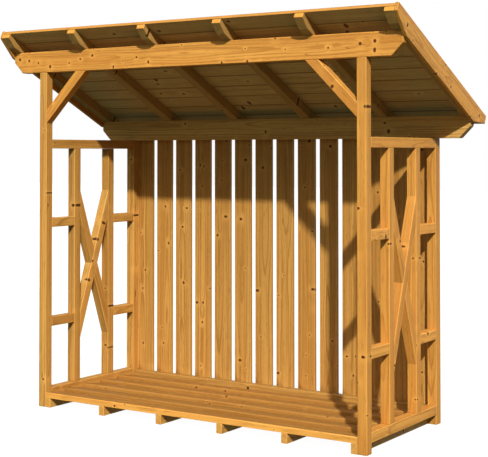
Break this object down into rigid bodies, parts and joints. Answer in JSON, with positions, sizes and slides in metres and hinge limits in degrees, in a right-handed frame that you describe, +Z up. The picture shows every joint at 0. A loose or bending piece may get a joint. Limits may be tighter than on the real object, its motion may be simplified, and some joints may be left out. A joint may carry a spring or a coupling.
{
  "type": "log store",
  "caption": "Open-fronted timber log store with slatted back, braced open sides, boarded floor and single-pitch boarded roof.",
  "frame": {"origin": "on the ground, midway between the roof's side edges and midway between its front and rear edges", "axes": "+X along the store's width, to the right as seen from the open front; +Y from the open front to the slatted back; +Z up"},
  "size_m": [2.652, 1.1282, 2.2493],
  "materials": {
    "post_timber": "satin",
    "rail_timber": "satin",
    "board_timber": "satin",
    "roof_timber": "satin",
    "screw_steel": "satin"
  },
  "bodies": {
    "root": {"bearer_1": "rail_timber", "bearer_2": "rail_timber", "bearer_3": "rail_timber", "bearer_4": "rail_timber", "bearer_5": "rail_timber", "bearer_6": "rail_timber", "floor_board_1": "board_timber", "floor_board_2": "board_timber", "floor_board_3": "board_timber", "floor_board_4": "board_timber", "floor_board_5": "board_timber", "front_left_post": "post_timber", "front_right_post": "post_timber", "rear_left_post": "post_timber", "rear_right_post": "post_timber", "front_purlin": "rail_timber", "rear_purlin": "rail_timber", "rear_bottom_rail": "rail_timber", "left_bottom_rail": "rail_timber", "right_bottom_rail": "rail_timber", "left_top_rail": "rail_timber", "right_top_rail": "rail_timber", "left_front_stud": "post_timber", "left_rear_stud": "post_timber", "right_front_stud": "post_timber", "right_rear_stud": "post_timber", "left_mid_rails": "rail_timber", "right_mid_rails": "rail_timber", "left_cross_brace": "rail_timber", "right_cross_brace": "rail_timber", "left_cross_halves": "rail_timber", "right_cross_halves": "rail_timber", "left_knee_brace": "post_timber", "right_knee_brace": "post_timber", "back_boards": "board_timber", "left_barge_board": "board_timber", "right_barge_board": "board_timber", "roof_boards": "roof_timber", "rafter_1": "roof_timber", "rafter_2": "roof_timber", "rafter_3": "roof_timber", "rafter_4": "roof_timber", "rafter_5": "roof_timber", "rafter_6": "roof_timber"}
  },
  "joints": []
}
